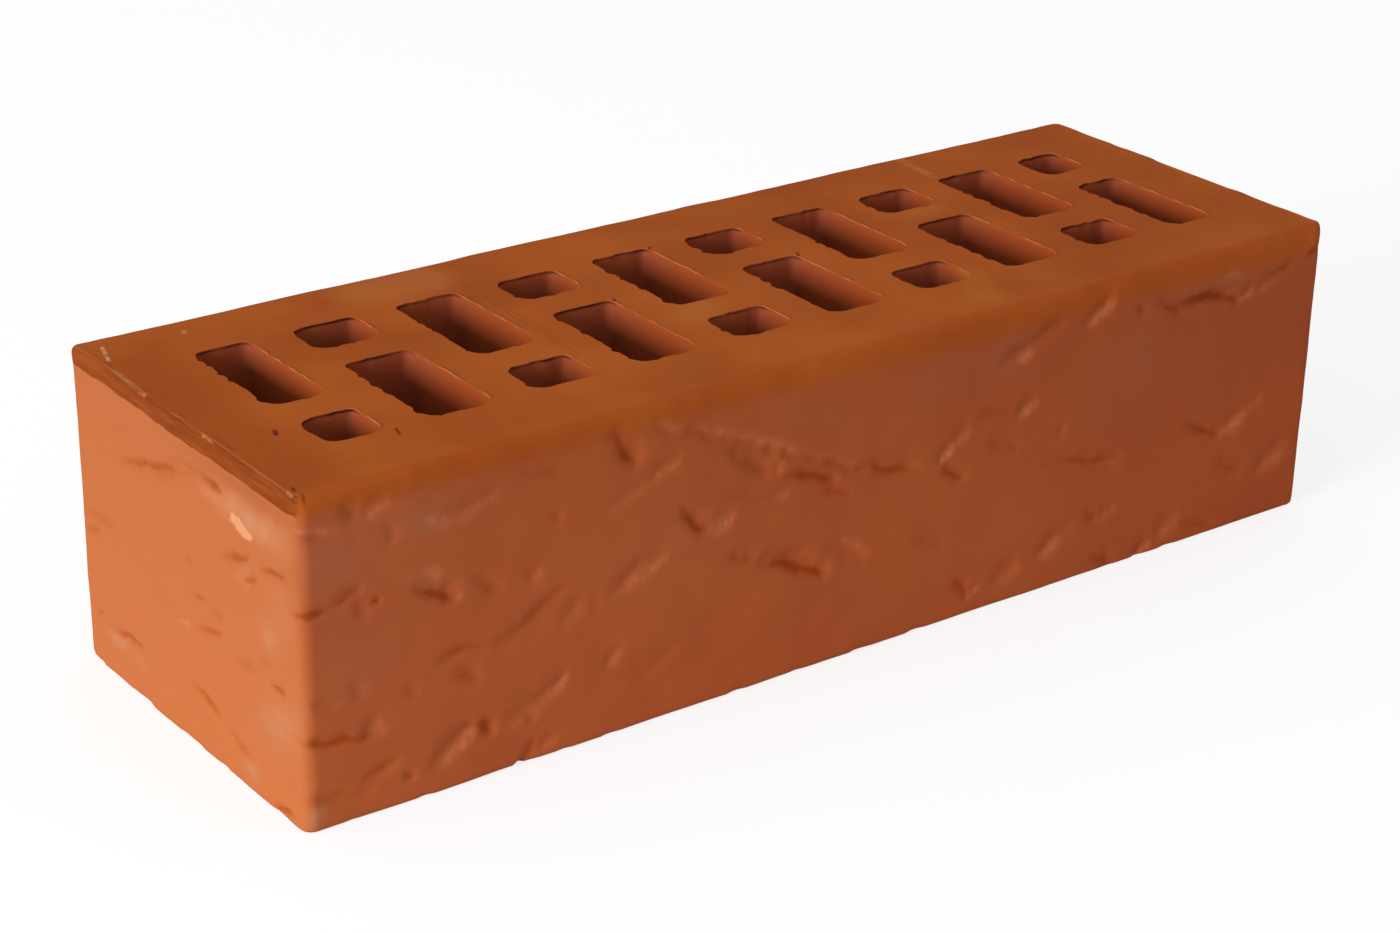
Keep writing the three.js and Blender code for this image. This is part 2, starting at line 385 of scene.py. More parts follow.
def score(walked, upright, start_of_face, marks):
    """The relief of a face's marks, the painted shade at their bottoms and how pale the right wall
    is. Along a mark the depth is a parabola, skewed towards its end and raised to a power that
    fills out its ends. Across, it is a bell curve with its own reach on each side, narrower at
    the ends. The dark is a thin bell curve of painted shade just left of the bottom, and the pale
    one that stands on the right wall, clay that the tool tore, with a painted highlight where it
    faces the lamp."""
    skew, fullness, reach_at_end = 1.2, 0.7, 0.5
    floor_shift, floor_at_end, floor_growth = 0.25 * MM, 0.5, 0.45
    up_the_wall = 0.7
    relief, dark, pale = np.zeros((3,) + walked.shape)
    for one in marks:
        (u0, v0), (u1, v1) = np.array(one["start"]) * MM, np.array(one["end"]) * MM
        du, dv = u1 - u0, v1 - v0
        length = np.hypot(du, dv)
        u, v = short_way(walked - start_of_face - u0), upright - v0
        along = np.clip((u * du + v * dv) / length**2, 0, 1)
        skewed = along**skew
        taper = (4 * skewed * (1 - skewed)) ** fullness
        rightwards = 1 if dv > 0 else -1
        across = rightwards * (u * dv - v * du) / length - one["bow"] * MM * 4 * along * (1 - along)
        wall = np.where(across < 0, *one["reach"]) * MM * (reach_at_end + (1 - reach_at_end) * taper)
        relief -= one["depth"] * MM * taper * np.exp(-(across / wall) ** 2)
        floor_width = (floor_at_end + floor_growth * taper) * MM
        floor = np.exp(-((across + floor_shift) / floor_width) ** 2)
        dark = np.maximum(dark, one["dark"] * taper * floor)
        lit = np.exp(-((across - up_the_wall * wall) / (up_the_wall * wall)) ** 2)
        pale = np.maximum(pale, one["pale"] * taper * lit)
    return relief, dark, pale


def spread(walked, upright, start_of_face, patches):
    """The share of a face's soft patches: the sum of a bell curve for each."""
    share = np.zeros_like(walked)
    for one in patches:
        middle_u, middle_v = np.array(one["middle"]) * MM
        u, v = short_way(walked - start_of_face - middle_u), upright - middle_v
        tilt = radians(one["tilt"])
        long_way = (u * cos(tilt) + v * sin(tilt)) / (one["half_length"] * MM)
        high_way = (v * cos(tilt) - u * sin(tilt)) / (one["half_height"] * MM)
        share += one["share"] * np.exp(-(long_way**2 + high_way**2))
    return share


# The faces in the order they are walked: the left header, the front, the right header, the back.
face_starts = np.array([0, brick_width, brick_width + brick_length, 2 * brick_width + brick_length])
face_marks = [
    left_header_marks,
    front_marks,
    scatter_marks(brick_width / MM, count=24, seed=11),
    scatter_marks(brick_length / MM, count=75, seed=23),
]
face_flakes = [
    left_header_flakes,
    [],
    [patch((24, 47), 3.6, 1.1, 0.9, tilt=-15)],
    [patch((61, 50), 4, 1.2, 0.9, tilt=12), patch((192, 15), 3, 1, 0.9, tilt=-10)],
]
face_pale = [
    left_header_pale,
    front_pale,
    scatter_patches(brick_width / MM, count=7, largest=5, share=0.5, seed=31),
    scatter_patches(brick_length / MM, count=12, largest=5, share=0.5, seed=32),
]
# Smoke on the stretchers; on the headers the same share is painted shade.
face_smoke_and_shade = [
    left_header_painted_shade,
    front_smoky,
    scatter_patches(brick_width / MM, count=5, largest=14, share=0.7, seed=33),
    scatter_patches(brick_length / MM, count=14, largest=16, share=0.8, seed=34),
]

walked, inner, outward = rounded_outline(
    brick_length, brick_width, upright_arris,
    steps=(seen_step, seen_step, far_step, far_step),
    corner_steps=round(2 * upright_arris / corner_step),
)

# The profile of a face, from the lower bed over both arrises to the upper bed: how far each row
# lies in from the face and how high. A quarter of a circle below, a quarter of an ellipse above,
# which is tighter on the headers, and then the low ridge of the burr that the wire pushed up.
on_header = np.abs(outward[:, 0]) ** 2
arris_run = stretcher_arris_run + (header_arris_run - stretcher_arris_run) * on_header
arris_drop = stretcher_arris_drop + (header_arris_drop - stretcher_arris_drop) * on_header
burr_height = stretcher_burr + (header_burr - stretcher_burr) * on_header
below = np.linspace(0, np.pi / 2, lower_arris_rows + 1)[:, None]
above = np.linspace(np.pi / 2, 0, upper_arris_rows + 1)[:, None]
face_rows = round((brick_height - lower_arris - stretcher_arris_drop) / row_step)
part_up = np.linspace(0, 1, face_rows + 1)[1:-1, None]
flush = np.zeros_like(walked)
row_inset = np.concatenate([
    [flush + lower_arris + lower_bed_margin],
    flush + lower_arris * (1 - np.sin(below)),
    np.zeros((face_rows - 1, len(walked))),
    arris_run * (1 - np.sin(above)),
    [arris_run + burr_width / 2],
    [arris_run + burr_width],
    [flush + stretcher_arris_run + burr_width + upper_bed_margin],
])
row_height = np.concatenate([
    [flush],
    flush + lower_arris * (1 - np.cos(below)),
    lower_arris + part_up * (brick_height - arris_drop - lower_arris),
    brick_height - arris_drop * (1 - np.cos(above)),
    [flush + brick_height] * 3,
])

# How far each row follows the relief: all the way, but not where the beds begin.
margin_share = 0.4
loose = np.ones_like(row_inset)
loose[[0, -1]] = 0
loose[-2] = margin_share

around, upright = np.broadcast_arrays(walked, row_height)


def lumps(height, size, seed):
    """Smooth random lumps over the faces, with their height and size in millimetres."""
    return height * MM * clay_noise(around, upright, size * MM, seed)


# The faces lie a little inside the block, and swell and sink. The marks follow a place that
# wanders, so that their edges are ragged.
mean_inset = 0.30 * MM
relief = -mean_inset + lumps(0.16, 16, seed=5)
relief += lumps(0.07, 6, seed=6)
relief += lumps(0.02, 2.2, seed=7)
ragged_around = around + lumps(0.52, 3.2, seed=1) + lumps(0.28, 1.6, seed=2)
ragged_up = upright + lumps(0.50, 3.6, seed=3) + lumps(0.26, 1.7, seed=4)

# The soft clay closes up again behind the tool, unevenly, and most where a mark runs over an
# upright arris.
depth_left = 0.68
depth_lost_at_corner = 0.75
corner_reach = 2.4 * MM
unevenness = 0.42
unevenness_size = 2.4 * MM
corner_distance = np.abs(short_way(around[..., None] - face_starts)).min(axis=-1)
at_corner = np.exp(-(corner_distance / corner_reach) ** 2)
bite = (1 - depth_lost_at_corner * at_corner) * depth_left
bite = bite * (1 + unevenness * clay_noise(around, upright, unevenness_size, 8))
crevice, torn_and_lit_wall, flaked, pale, smoke_and_shade = np.zeros((5,) + relief.shape)
for face, start_of_face in enumerate(face_starts):
    scored, darkened, torn_and_lit_share = score(ragged_around, ragged_up, start_of_face, face_marks[face])
    relief += scored * bite
    crevice = np.maximum(crevice, darkened)
    torn_and_lit_wall = np.maximum(torn_and_lit_wall, torn_and_lit_share)
    flaked += spread(ragged_around, ragged_up, start_of_face, face_flakes[face])
    pale += spread(ragged_around, ragged_up, start_of_face, face_pale[face])
    smoke_and_shade += spread(ragged_around, ragged_up, start_of_face, face_smoke_and_shade[face])

# The lumpy upper lip of the coat, lower on the stretchers, the chips along the lower edge, and
# the burr. Their noise runs round the brick only.
lip_reach, stretcher_lip = 3 * MM, 0.35
large_lip, large_lip_size = 0.34 * MM, 8 * MM
small_lip, small_lip_size = 0.22 * MM, 3.4 * MM
chip_depth, chip_reach, chip_size, chip_threshold = 0.8 * MM, 1.0 * MM, 5 * MM, 0.4
burr_size, burr_mean, burr_swing = 3.5 * MM, 0.2, 1.4
level = np.zeros_like(upright)
lip = np.exp(-((brick_height - upright) / lip_reach) ** 2)
lip = lip * (stretcher_lip + (1 - stretcher_lip) * on_header)
relief += lip * large_lip * clay_noise(around, level, large_lip_size, 9)
relief += lip * small_lip * clay_noise(around, level, small_lip_size, 13)
chips = np.clip(clay_noise(around, level, chip_size, 10) - chip_threshold, 0, 1)
relief -= chip_depth * chips * np.exp(-(upright / chip_reach) ** 2)
burr_line = burr_mean + burr_swing * clay_noise(walked, level[0], burr_size, 12)
lift = np.zeros_like(relief)
lift[-3] = burr_height * np.clip(burr_line, 0, 1)

# The relief stays clear of the smooth rings that the beds start from, and deepens from there.
clear = 0.05 * MM
deepening = 1.2
relief = np.maximum(relief, clear - upper_bed_margin - deepening * (brick_height - upright))
relief = np.maximum(relief, clear - lower_bed_margin - deepening * upright)

offset = upright_arris - row_inset + relief * loose
skin = np.empty(around.shape + (3,))
skin[..., :2] = inner + outward * offset[..., None]
skin[..., 2] = upright + lift


# ---- The cores -------------------------------------------------------------------------------
# Ten columns of two straight cores, left by the pins of the die as the column of clay came out.
# The wires tear their rims a little, and push up a thin burr on the side where they leave.

header_wall = 17 * MM
stretcher_wall = 17.5 * MM
column_web = 9 * MM
cross_web = 8.5 * MM
core_width = 14 * MM
short_core = 11.5 * MM
core_corner = 3 * MM
core_step = 0.75 * MM
core_corner_steps = 8

# The rows down a wall, from the margin of the upper rim to that of the lower one: how far each
# stands out from the wall, how far down it is, and its share of the tearing.
rim_margin = 1.4 * MM
plain_rows = 3
wall_tearing = 0.35
upper_out = np.array([rim_margin, 0.30 * MM, 0.12 * MM, 0.03 * MM, 0, 0, 0])
upper_drop = np.array([0, 0, 0, 0.12 * MM, 0.4 * MM, 0.8 * MM, 2.4 * MM])
upper_torn = np.array([0, 0.95, 1.0, 1.0, 0.95, 0.75, wall_tearing])
lower_out = np.array([0, 0.10 * MM, rim_margin])
lower_drop = brick_height - np.array([0.8 * MM, 0, 0])
lower_torn = np.array([0.6, 1.0, 0])
plain_drop = np.linspace(upper_drop[-1], lower_drop[0], plain_rows + 1)[1:-1]
wall_out = np.concatenate([upper_out, np.zeros_like(plain_drop), lower_out])
wall_drop = np.concatenate([upper_drop, plain_drop, lower_drop])
wall_torn = np.concatenate([upper_torn, np.full_like(plain_drop, wall_tearing), lower_torn])
burr_row = 2
first_inner_row, last_inner_row = 3, -3

# How square the corners of the outline are. 2 is round, and more is squarer.
front_corners = 2.0
left_back_corner, long_left_back_corner, right_back_corner = 2.1, 3.2, 5.0
long_ratio = 1.5

# Torn clay: notches, crumbs and waves, more on the left and the front, and less in the corners.
notch_size, notch_depth = 1.7 * MM, 0.50 * MM
notch_threshold, notch_slope = 0.3, 0.3
crumb_size, crumb_depth = 1.6 * MM, 0.14 * MM
wave_size, wave_depth = 5 * MM, 0.15 * MM
mean_tearing, left_tearing, front_tearing, corner_loss = 0.7, 0.4, 0.1, 0.6
deepest_tear = 0.9 * MM
rim_bow = 0.04 * MM

# The burr, the painted room light and the painted shadow under the far rims: their reach and how they
# are shared out.
patch_size = 2.6 * MM
core_burr_height, core_burr_mean, core_burr_swing = 0.12 * MM, 0.4, 1.2
room_light_depth, room_light_right, room_light_back, room_light_corner = 16 * MM, 0.5, 0.3, 0.3
rim_shadow_depth, rim_shadow_gain, rim_shadow_mean, rim_shadow_swing = 0.5 * MM, 1.4, 0.8, 0.4


def core_wall(middle_x, middle_y, size_x, size_y, seed):
    """The inside of one core: its outline carried straight down through the rows above, set out at
    both rims, and set out again by the tearing. A notch is where a noise round the rim passes a
    threshold, taken through a smooth step. The corners are those of a superellipse. Returns the
    wall, and for each of its points the share of burr, of painted room light, a greyer tint which
    lies in the far corner and fades with the depth, and of painted shadow under the far rim."""
    steps = [core_step] * 4
    along, centre, out = rounded_outline(size_x, size_y, core_corner, steps, core_corner_steps)
    around_core = 2 * (size_x + size_y)
    walk, depth = np.meshgrid(along, wall_drop)
    level = np.zeros_like(depth)
    out_x, out_y = out.T

    notch = clay_noise(walk, level, notch_size, seed, around_core) - notch_threshold
    notch = np.clip(notch / notch_slope, 0, 1)
    tear = notch_depth * notch * notch * (3 - 2 * notch)
    tear += crumb_depth * clay_noise(walk, depth, crumb_size, seed + 3, around_core)
    tear += wave_depth * clay_noise(walk, level, wave_size, seed + 1, around_core)
    tear *= mean_tearing - left_tearing * out_x - front_tearing * out_y
    tear *= 1 - corner_loss * np.abs(2 * out_x * out_y)

    left_back = long_left_back_corner if size_y > long_ratio * size_x else left_back_corner
    back = np.where(out_x > 0, right_back_corner, left_back)
    square = np.where(out_y > 0, back, front_corners)
    bulge = (np.abs(out_x) ** square + np.abs(out_y) ** square) ** (-1 / square)
    tear = np.minimum(tear, deepest_tear - core_corner * (bulge - 1))

    row_out, row_torn = wall_out[:, None], wall_torn[:, None]
    off_margin = row_out < rim_margin
    outset = core_corner * np.where(off_margin, bulge, 1) + row_out + tear * row_torn
    part_round = (along % around_core) / around_core
    outset = outset + ~off_margin * rim_bow * np.abs(np.sin(2 * np.pi * part_round))

    patches = clay_noise(walk, depth, patch_size, seed + 2, around_core)
    at_burr = (np.arange(len(wall_drop)) == burr_row)[:, None]
    burr = np.clip(out_x, 0, 1) * np.clip(core_burr_mean + core_burr_swing * patches, 0, 1) * at_burr
    across, back = ((centre + core_corner * out) / [size_x, size_y] + 0.5).T
    room_light_tint = room_light_right * out_x + (room_light_back + room_light_corner * across) * out_y
    room_light_tint = np.clip(room_light_tint, 0, 1) * back**2 * np.exp(-depth / room_light_depth) * (depth > 0)
    under_rim = ((wall_drop > 0) & (wall_drop < rim_shadow_depth))[:, None]
    rim_shadow = np.clip(rim_shadow_mean + rim_shadow_swing * patches, 0, 1) * under_rim
    rim_shadow = np.clip(rim_shadow_gain * out_y, 0, 1) * rim_shadow

    wall = np.empty(walk.shape + (3,))
    wall[..., :2] = [middle_x, middle_y] + centre + out * outset[..., None]
    wall[..., 2] = brick_height - depth + core_burr_height * burr
    return wall, burr, room_light_tint, rim_shadow


# The end columns take the length that whole columns leave over, and the long core of a column
# takes the width. Neighbouring columns are turned end for end.
cored_length = brick_length - 2 * header_wall
inner_columns = round((cored_length - column_web) / (core_width + column_web)) - 1
end_width = (cored_length - column_web - inner_columns * (core_width + column_web)) / 2
column_widths = np.array([end_width] + [core_width] * inner_columns + [end_width])
column_ends = np.cumsum(column_widths + column_web) - column_web
column_middles = column_ends - column_widths / 2 - cored_length / 2
cored_width = brick_width - 2 * stretcher_wall
long_core = cored_width - cross_web - short_core

core_walls, core_burrs, core_room_light_tints, core_rim_shadows = [], [], [], []
for column, (middle_x, core_size) in enumerate(zip(column_middles, column_widths)):
    back_or_front = 1 if column % 2 == 0 else -1
    for way, core_length in ((back_or_front, long_core), (-back_or_front, short_core)):
        middle_y = way * (cored_width - core_length) / 2
        seed = 100 + 10 * column + way
        wall, burr, room_light_tint, rim_shadow = core_wall(middle_x, middle_y, core_size, core_length, seed)
        core_walls.append(wall)
        core_burrs.append(burr)
        core_room_light_tints.append(room_light_tint)
        core_rim_shadows.append(rim_shadow)


# ---- The beds --------------------------------------------------------------------------------
# The two cut faces, smooth where the wire went through and bare of any coat. Each is triangles
# between the margin of the faces and the rims of the cores, over points in staggered rows.

bed_step_above = 3.0 * MM
bed_step_below = 3.4 * MM
clear_of_rim = 1.2 * MM
same_point = 1e-9
smallest_area = 1e-12


def staggered_points(step, rings):
    """Points in rows a step apart, each row half a step along from the last, kept where they lie
    clear of every ring of points."""
    rows = np.arange(-brick_width / 2, brick_width / 2, step * np.sqrt(3) / 2)
    columns = np.arange(-brick_length / 2, brick_length / 2, step)
    x, y = np.meshgrid(columns, rows)
    x = x + (np.arange(len(rows)) % 2)[:, None] * step / 2
    points = np.stack([x.ravel(), y.ravel()], axis=1)
    outer = rings[0]
    keep = (np.abs(points) < np.abs(outer).max(axis=0) - clear_of_rim).all(axis=1)
    for ring in rings[1:]:
        middle, half = (ring.max(axis=0) + ring.min(axis=0)) / 2, np.ptp(ring, axis=0) / 2
        keep &= (np.abs(points - middle) > half + clear_of_rim).any(axis=1)
    return points[keep]


def triangulate_bed(rings, step):
    """Delaunay triangles over the rings and the staggered points between them, without those that
    lie in a core, whose corners are all on that core's ring. Returns the new points and the
    triangles, which count the rings' points first."""
    points = staggered_points(step, rings)
    flat = np.concatenate(rings + [points])
    sizes = [len(ring) for ring in rings]
    first = np.concatenate([[0], np.cumsum(sizes)])
    edges = np.concatenate([
        np.stack([np.arange(size), (np.arange(size) + 1) % size], axis=1) + start
        for size, start in zip(sizes, first)
    ])
    made = delaunay_2d_cdt([Vector(p) for p in flat], edges.tolist(), [], 0, same_point)
    assert len(made[0]) == len(flat)
    triangles = np.array(made[2])
    ring_of = np.full(len(flat), -1)
    ring_of[:first[-1]] = np.repeat(np.arange(len(rings)), sizes)
    corners = ring_of[triangles]
    in_core = (corners == corners[:, :1]).all(axis=1) & (corners[:, 0] > 0)
    a, b, c = flat[triangles].transpose(1, 0, 2)
    area = ((b - a)[:, 0] * (c - a)[:, 1] - (b - a)[:, 1] * (c - a)[:, 0]) / 2
    triangles[area < 0] = triangles[area < 0][:, ::-1]
    return points, triangles[~in_core & (np.abs(area) > smallest_area)]


def grid_faces(index):
    """Quads over a grid of rows that close on themselves, from the index of each point."""
    right = np.roll(index, -1, axis=1)
    return np.stack([index[:-1], right[:-1], right[1:], index[1:]], axis=-1).reshape(-1, 4)


# The brick itself: the skin, the walls of the cores and the two beds, in one closed mesh. The
# skin ends in its last row above, and a core in its first.
grids = [skin] + core_walls
grid_sizes = [grid[..., 0].size for grid in grids]
grid_starts = np.concatenate([[0], np.cumsum(grid_sizes)])
indices = [
    start + np.arange(size).reshape(grid.shape[:2])
    for grid, size, start in zip(grids, grid_sizes, grid_starts)
]
points = [grid.reshape(-1, 3) for grid in grids]
quads = np.concatenate([grid_faces(index) for index in indices])
triangles = []
point_count = grid_starts[-1]
for height, skin_row, core_row, step in (
    (brick_height, -1, 0, bed_step_above),
    (0, 0, -1, bed_step_below),
):
    rows = [skin_row] + [core_row] * len(core_walls)
    rings = [grid[row][:, :2] for grid, row in zip(grids, rows)]
    bed_points, bed = triangulate_bed(rings, step)
    bed_index = point_count + np.arange(len(bed_points))
    lookup = np.concatenate([index[row] for index, row in zip(indices, rows)] + [bed_index])
    points.append(np.column_stack([bed_points, np.full(len(bed_points), height)]))
    triangles.append(lookup[bed] if height > 0 else lookup[bed][:, ::-1])
    point_count += len(bed_points)
points = np.concatenate(points)
triangles = np.concatenate(triangles)

mesh = bpy.data.meshes.new("brick_body")
mesh.from_pydata(points.tolist(), [], quads.tolist() + triangles.tolist())
mesh.polygons.foreach_set("use_smooth", np.ones(len(mesh.polygons), bool))
mesh.update()


def give_points(name, values_on_grids):
    """Keeps one number for each point of the mesh, which the material reads by name: those given
    for the skin and then for the cores, and 0 on the beds."""
    values = np.zeros(point_count, np.float32)
    for start, grid_values in zip(grid_starts, values_on_grids):
        values[start:start + grid_values.size] = grid_values.ravel()
    attribute = mesh.attributes.new(name, "FLOAT", "POINT")
    attribute.data.foreach_set("value", values)


# The headers' coat ends half way round the upright arrises, and short of the beds.
nowhere = np.zeros(skin.shape[:2])
turned_away, turned_range, share_of_arris = 0.5, 0.35, 0.9
towards_end = np.clip((np.abs(outward[:, 0]) - turned_away) / turned_range, 0, 1)
short_of_beds = row_inset < arris_run * share_of_arris
skin_burr_highlight = 0.5
inner_wall = np.zeros(len(wall_drop))
inner_wall[first_inner_row:last_inner_row + 1] = 1
core_insides = [np.broadcast_to(inner_wall[:, None], wall.shape[:2]) for wall in core_walls]
give_points("coated", [loose])
# The material reads these: painted shade in the marks and under the far rims of the cores, the burrs
# with their painted highlight, painted room light in the cores, the torn walls with their painted
# highlight, and smoke on the stretchers that is painted shade on the headers.
give_points("crevice", [crevice] + core_rim_shadows)
give_points("header", [loose * short_of_beds * towards_end])
give_points("core", [nowhere] + core_insides)
give_points("burr", [skin_burr_highlight * lift / header_burr] + core_burrs)
give_points("room_light_tint", [nowhere] + core_room_light_tints)
give_points("torn_and_lit", [torn_and_lit_wall])
give_points("flaked", [flaked * loose])
give_points("pale", [pale * loose])
give_points("smoke_and_shade", [np.clip(smoke_and_shade, 0, 1)])

# The cut edges stay crisp: the rims of the cores and the edges of both beds, but not where the
# stretchers' upper arris rolls over.
crisp_skin_rows, crisp_core_rows = (1, -4), (2, 3, -2)
ring_of_point = np.zeros(point_count, int)
ring_number = 0
for index, rows in zip(indices, [crisp_skin_rows] + [crisp_core_rows] * len(core_walls)):
    for row in rows:
        ring_number += 1
        ring_of_point[index[row]] = ring_number
edge_ends = np.empty(2 * len(mesh.edges), np.int32)
mesh.edges.foreach_get("vertices", edge_ends)
edge_ends = edge_ends.reshape(-1, 2)
first_ring, second_ring = ring_of_point[edge_ends].T
rolled = np.abs(points[:, 1]) > brick_width / 2 - 2 * upright_arris
rolled &= (points[:, 2] > brick_height / 2) & (np.arange(point_count) < grid_sizes[0])
crisp_edges = (first_ring == second_ring) & (first_ring > 0) & ~rolled[edge_ends].any(axis=1)
mesh.attributes.new("sharp_edge", "BOOLEAN", "EDGE").data.foreach_set("value", crisp_edges)

brick_body = bpy.data.objects.new("brick_body", mesh)
bpy.context.scene.collection.objects.link(brick_body)


# ---- Fired clay ------------------------------------------------------------------------------
# The body is a smooth, quite matte orange brown where the wire cut it. The coat on the faces is
# duller and a little pinker, with darker smoky patches, and it is worn off along the upper bed.

bare_colours, coat_colours = ("#9F4B15", "#AD571B"), ("#AF572E", "#B35C30")
smoked_colour, header_coat_colour = "#AC6242", "#B06337"
# Painted shade: towards the upper edge, and on the headers.
upper_painted_shade, header_painted_shade = "#EDEAE9", "#EEEAE9"
thin_coat_shade, hotter_shade = "#F9F1E6", "#ECDCD7"
# The headers' worn band: its painted shade and its lighter streaks.
band_painted_shade, streak_colour = "#B8A77F", "#B0622C"
# Painted shade in the bottoms of the marks, and the pale of their torn walls, which is partly a painted
# highlight.
soft_crevice_painted_shade, crisp_crevice_painted_shade, torn_and_lit_colour = "#F4E2C6", "#F0DEA8", "#C06E48"
dust_colour, flaked_colour = "#AE7A5A", "#C0825B"
# Painted room light in the cores, painted shadow under their far rims, and the burrs' painted
# highlight.
core_colour, room_light_colour, rim_shadow_colour, burr_highlight_colour = "#94421B", "#955241", "#300E06", "#C8804E"
# The pits and nicks are painted shade.
bed_end_colour, pit_painted_shade, nick_painted_shade, scratch_colour = "#984310", "#66280C", "#6A220E", "#80380E"


def from_hex(code):
    """A linear colour from an sRGB hex code."""
    srgb = np.array([int(code[i:i + 2], 16) for i in (1, 3, 5)]) / 255
    linear = np.where(srgb <= 0.04045, srgb / 12.92, ((srgb + 0.055) / 1.055) ** 2.4)
    return (*linear, 1.0)


def add(tree, kind, feeds={}, **settings):
    """Adds a shader node to the tree, with its settings, and its inputs by name or number. An
    input takes a value, an output that it is linked to, or a node, for its first live output."""
    made = tree.nodes.new("ShaderNode" + kind)
    for name, value in settings.items():
        setattr(made, name, value)
    for name, value in feeds.items():
        if isinstance(value, bpy.types.Node):
            value = next(output for output in value.outputs if output.enabled)
        if isinstance(value, bpy.types.NodeSocket):
            tree.links.new(value, made.inputs[name])
        else:
            made.inputs[name].default_value = value
    return made


fired_clay = bpy.data.materials.new("fired_clay")
fired_clay.use_nodes = True
clay = fired_clay.node_tree
clay.nodes.clear()

place = add(clay, "TexCoord").outputs["Object"]
xyz = add(clay, "SeparateXYZ", {0: place})
coated, in_crevice, header, in_core, on_burr_highlight, has_room_light, is_torn_and_lit, is_flaked, is_pale, is_smoke_and_shade = (
    add(clay, "Attribute", attribute_name=name).outputs["Fac"]
    for name in (
        "coated", "crevice", "header", "core", "burr", "room_light_tint", "torn_and_lit", "flaked", "pale", "smoke_and_shade")
)


def drifting_tone(size, colours):
    """Slow drifts of tone between two colours, with the given size in metres."""
    drift = add(clay, "TexNoise", {"Vector": place, "Scale": 1 / size, "Detail": 3.0})
    tone = add(clay, "ValToRGB", {0: drift})
    middle_of_noise = (0.35, 0.65)
    for end, position, colour in zip(tone.color_ramp.elements, middle_of_noise, colours):
        end.position = position
        end.color = from_hex(colour)
    return tone


def lay_over(colour, paint, share, strength, blend_type="MIX"):
    """The colour with a paint laid over it, or multiplied by it, at the given strength wherever
    the share is 1."""
    part = add(clay, "Math", {0: share, 1: strength}, operation="MULTIPLY")
    feeds = {0: part, 6: colour, 7: from_hex(paint)}
    return add(clay, "Mix", feeds, data_type="RGBA", blend_type=blend_type)


# The bare clay, and the coat with the smoky patches over it. The coat is a little lighter on the
# headers. Painted shade darkens it towards the upper edge, and on the headers where the share of
# smoke and shade lies.
bare_tone = drifting_tone(30 * MM, bare_colours)
coat_tone = drifting_tone(34 * MM, coat_colours)
smoked = lay_over(coat_tone, smoked_colour, is_smoke_and_shade, 0.65)
header_coat = add(clay, "Mix", {
    0: header, 6: smoked, 7: from_hex(header_coat_colour)}, data_type="RGBA")
# Painted shade: the coat darkens towards the upper edge.
part_way_up = add(clay, "MapRange", {"Value": xyz.outputs["Z"], "From Max": brick_height})
painted_shade_above = add(clay, "Mix", {
    0: part_way_up, 6: header_coat, 7: from_hex(upper_painted_shade)}, data_type="RGBA", blend_type="MULTIPLY")
# Painted shade on the headers where the share of smoke and shade lies; on the left header it sits just
# under the worn band.
coat = lay_over(painted_shade_above, header_painted_shade, header, is_smoke_and_shade, "MULTIPLY")

# How far the coat is worn back below the upper bed: further towards the right end of the
# stretchers and least on the headers, with a ragged border that is soft on the stretchers and
# crisp on the headers.
below_bed = add(clay, "Math", {0: brick_height, 1: xyz.outputs["Z"]}, operation="SUBTRACT")
tatter = add(clay, "TexNoise", {"Vector": place, "Scale": 1 / (5 * MM), "Detail": 4.0})
tatter_depth = add(clay, "MapRange", {
    "Value": tatter, "From Min": 0.3, "From Max": 0.7, "To Min": -0.5 * MM, "To Max": 0.5 * MM})
calmer = add(clay, "MapRange", {"Value": header, "To Min": 1.0, "To Max": 0.45})
tatter_here = add(clay, "Math", {0: tatter_depth, 1: calmer}, operation="MULTIPLY")
worn_further = add(clay, "MapRange", {
    "Value": xyz.outputs["X"], "From Min": -brick_length / 2, "From Max": brick_length / 2,
    "To Min": 3.9 * MM, "To Max": 6.3 * MM})
worn_back = add(clay, "MapRange", {"Value": header, "To Min": worn_further, "To Max": 3.35 * MM})
border = add(clay, "Math", {0: below_bed, 1: tatter_here}, operation="ADD")
past_border = add(clay, "Math", {0: border, 1: worn_back}, operation="SUBTRACT")
fade = add(clay, "MapRange", {"Value": header, "To Min": 2.3 * MM, "To Max": 0.12 * MM})
part_faded = add(clay, "Math", {0: past_border, 1: fade}, operation="DIVIDE")
coat_edge = add(clay, "MapRange", {
    "Value": part_faded, "From Min": -1.0}, interpolation_type="SMOOTHSTEP")
coat_share = add(clay, "Math", {0: coat_edge, 1: coated}, operation="MULTIPLY")

# A thin veil of the coat is left where it has worn.
thin_share = add(clay, "Math", {0: coated, 1: 0.22}, operation="MULTIPLY")
veiled = add(clay, "Mix", {0: thin_share, 6: bare_tone, 7: coat}, data_type="RGBA")
thin_coat = add(clay, "Mix", {
    0: coated, 6: veiled, 7: from_hex(thin_coat_shade)}, data_type="RGBA", blend_type="MULTIPLY")
mixed = add(clay, "Mix", {0: coat_share, 6: thin_coat, 7: coat}, data_type="RGBA")

# One end was hotter in the kiln, so the colour deepens towards it, the coat's more than the bare
# clay's.
hotter = add(clay, "MapRange", {
    "Value": xyz.outputs["X"], "From Min": -0.4 * brick_length, "From Max": 0.5 * brick_length})
on_coat = add(clay, "MapRange", {"Value": coat_share, "To Min": 0.35})
deeper = lay_over(mixed, hotter_shade, hotter, on_coat, "MULTIPLY")

